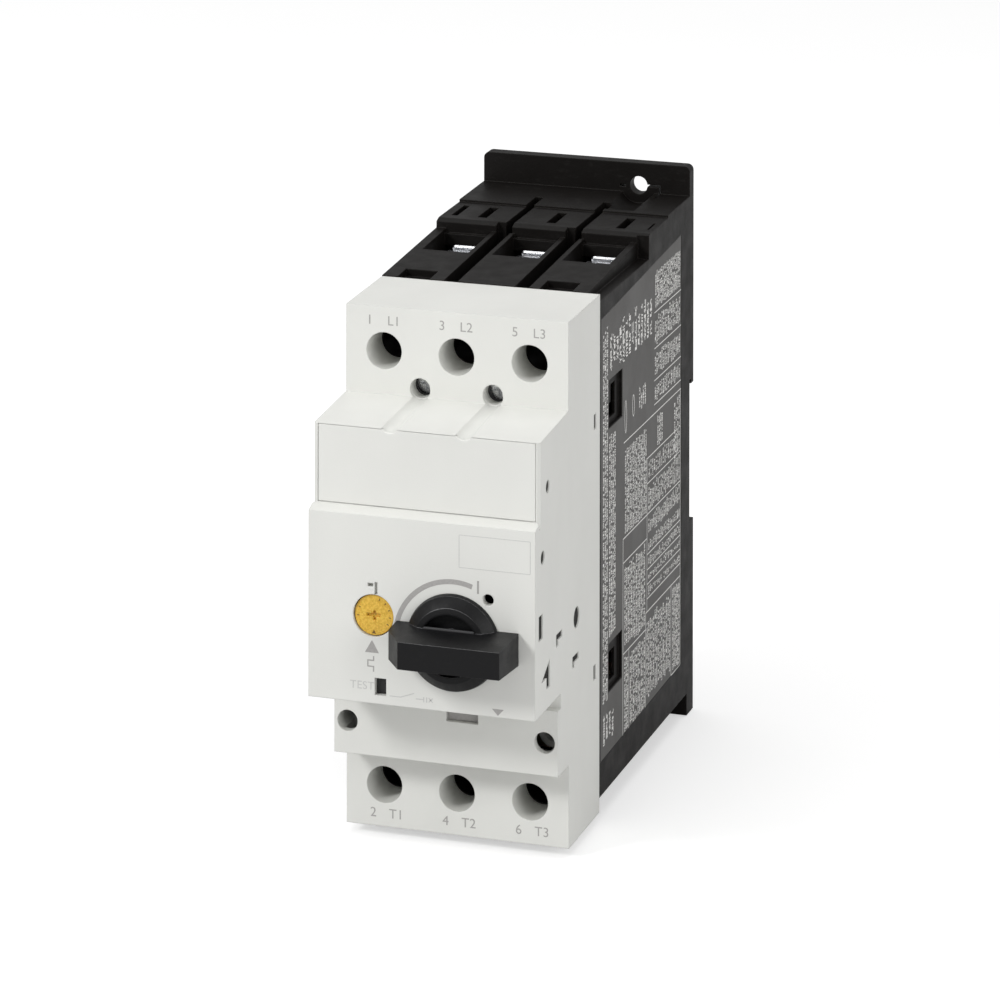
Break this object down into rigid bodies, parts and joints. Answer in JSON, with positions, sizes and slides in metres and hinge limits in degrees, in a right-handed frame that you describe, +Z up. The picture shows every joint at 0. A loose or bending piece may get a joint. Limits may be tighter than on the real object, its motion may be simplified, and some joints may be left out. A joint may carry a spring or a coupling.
{
  "type": "motor protection breaker",
  "caption": "Rail-mounted motor protection breaker with a rotary handle, setting dial, recessed screw terminals, a sprung rail foot and working contacts inside.",
  "frame": {"origin": "centre of the rail recess on the mounting plane, at the rail's centreline", "axes": "+X across the poles to the right seen from the front, +Y from the front panel to the mounting plane, +Z up towards the line terminals"},
  "size_m": [0.055, 0.161, 0.14],
  "materials": {
    "housing_black": "fine matte texture",
    "cover_grey": "fine matte texture",
    "label_grey": "satin printed film",
    "zinc_steel": "bright zinc",
    "insulator_beige": "glass-filled moulding",
    "tinned_copper": "tinned copper",
    "silver_alloy": "silver alloy",
    "handle_black": "matte",
    "spring_steel": "drawn wire",
    "dial_yellow": "satin"
  },
  "bodies": {
    "housing": {"rear_housing": "housing_black", "front_cover": "cover_grey", "label_plate": "cover_grey", "side_label": "label_grey", "cover_screws": "zinc_steel", "mechanism_frame": "insulator_beige", "line_clamps": "zinc_steel", "load_clamps": "zinc_steel", "line_screws": "zinc_steel", "load_screws": "zinc_steel", "line_conductors": "tinned_copper", "load_conductors": "tinned_copper", "load_straps": "tinned_copper", "fixed_contacts": "silver_alloy", "arc_plates": "zinc_steel", "arc_cheeks": "insulator_beige", "trip_coils": "tinned_copper", "coil_bobbins": "insulator_beige", "magnet_yokes": "zinc_steel", "bimetals": "zinc_steel", "opening_spring": "spring_steel", "test_spring": "spring_steel", "foot_spring": "spring_steel"},
    "handle": {"handle": "handle_black", "handle_shaft": "zinc_steel", "drive_cam": "zinc_steel"},
    "carrier": {"contact_carrier": "housing_black", "contact_bridges": "tinned_copper", "moving_contacts": "silver_alloy", "bridge_springs": "spring_steel"},
    "trip_bar": {"trip_bar": "insulator_beige", "trip_latch": "zinc_steel"},
    "plungers": {"trip_plungers": "zinc_steel"},
    "test": {"test_button": "handle_black", "test_rod": "zinc_steel"},
    "dial": {"setting_dial": "dial_yellow", "setting_shaft": "zinc_steel"},
    "foot": {"rail_foot": "housing_black"}
  },
  "joints": [
    {"name": "handle_turn", "type": "hinge", "parent": "housing", "child": "handle", "pos_m": [0.0078, -0.147, -0.0104], "axis": [0, 1, 0], "range_deg": [0, 90]},
    {"name": "carrier_slide", "type": "slide", "parent": "housing", "child": "carrier", "axis": [0, 1, 0], "range_m": [0, 0.005], "deforming": ["opening_spring"]},
    {"name": "trip_turn", "type": "hinge", "parent": "housing", "child": "trip_bar", "pos_m": [0, -0.066, -0.018], "axis": [1, 0, 0], "range_deg": [0, 10]},
    {"name": "plunger_slide", "type": "slide", "parent": "housing", "child": "plungers", "axis": [0, -1, 0], "range_m": [0, 0.0016]},
    {"name": "test_press", "type": "slide", "parent": "housing", "child": "test", "axis": [0, 1, 0], "range_m": [0, 0.0019], "deforming": ["test_spring"]},
    {"name": "dial_turn", "type": "hinge", "parent": "housing", "child": "dial", "pos_m": [-0.0116, -0.147, -0.0062], "axis": [0, 1, 0], "range_deg": [-135, 135]},
    {"name": "foot_slide", "type": "slide", "parent": "housing", "child": "foot", "axis": [0, 0, -1], "range_m": [0, 0.005], "deforming": ["foot_spring"]}
  ],
  "couplings": [
    {"joint": "carrier_slide", "follows": "handle_turn", "m_per_rad": 0.003183},
    {"joint": "plunger_slide", "follows": "trip_turn", "m_per_rad": 0.0089},
    {"joint": "test_press", "follows": "trip_turn", "m_per_rad": 0.0107}
  ]
}
